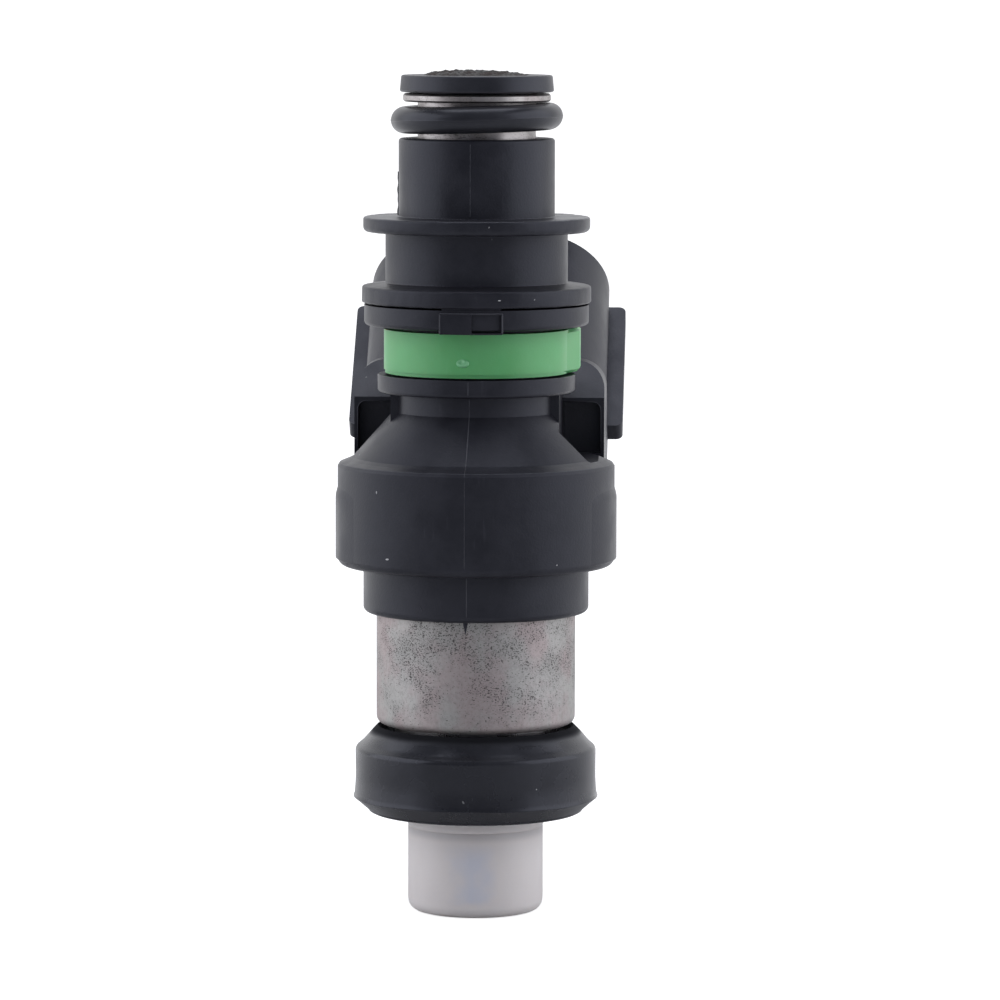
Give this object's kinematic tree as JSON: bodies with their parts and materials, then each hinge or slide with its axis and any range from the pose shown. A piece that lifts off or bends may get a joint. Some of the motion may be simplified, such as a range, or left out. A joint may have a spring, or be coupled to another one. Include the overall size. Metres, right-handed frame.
{
  "type": "fuel injector",
  "caption": "Top-feed petrol injector: ringed plastic body on a steel housing, oval plug shroud leaning back, rail O-ring on top, thick manifold seal and a pull-off nozzle cap.",
  "frame": {"origin": "on the injector's axis, half way up the manifold seal's cylindrical wall", "axes": "+Z along the axis to the fuel rail, +Y to the side of the electrical connector, X across"},
  "size_m": [0.024, 0.0427, 0.0714],
  "materials": {
    "filter_nylon": "satin",
    "filter_weave": "matte",
    "bright_steel": "satin",
    "o_ring_rubber": "satin",
    "black_nylon": "satin",
    "green_nylon": "satin",
    "tinned_brass": "satin",
    "core_steel": "satin",
    "spring_steel": "satin",
    "bobbin_nylon": "matte",
    "copper_wire": "gloss",
    "housing_steel": "satin",
    "ball_steel": "gloss",
    "seal_rubber": "matte",
    "retainer_nylon": "matte",
    "cap_polythene": "satin"
  },
  "bodies": {
    "injector": {"filter_frame": "filter_nylon", "filter_mesh": "filter_weave", "inlet_tube": "bright_steel", "upper_o_ring": "o_ring_rubber", "upper_overmould": "black_nylon", "body_overmould": "black_nylon", "colour_ring": "green_nylon", "terminal_left": "tinned_brass", "terminal_right": "tinned_brass", "fixed_core": "core_steel", "adjusting_tube": "core_steel", "return_spring": "spring_steel", "flux_washer": "core_steel", "coil_bobbin": "bobbin_nylon", "coil_winding": "copper_wire", "steel_housing": "housing_steel", "non_magnetic_ring": "bright_steel", "valve_body": "bright_steel", "valve_seat": "bright_steel", "orifice_plate": "bright_steel", "manifold_seal": "seal_rubber", "seal_retainer": "retainer_nylon"},
    "valve": {"armature": "core_steel", "needle_tube": "bright_steel", "valve_ball": "ball_steel"},
    "cap": {"protective_cap": "cap_polythene"}
  },
  "joints": [
    {"name": "needle_lift", "type": "slide", "parent": "injector", "child": "valve", "axis": [0, 0, 1], "range_m": [0, 0.0001], "stiffness_N_per_m": 5000, "springref_m": -0.0006, "deforming": ["return_spring"]},
    {"name": "cap_pull", "type": "slide", "parent": "injector", "child": "cap", "axis": [0, 0, -1], "range_m": [0, 0.014]}
  ]
}
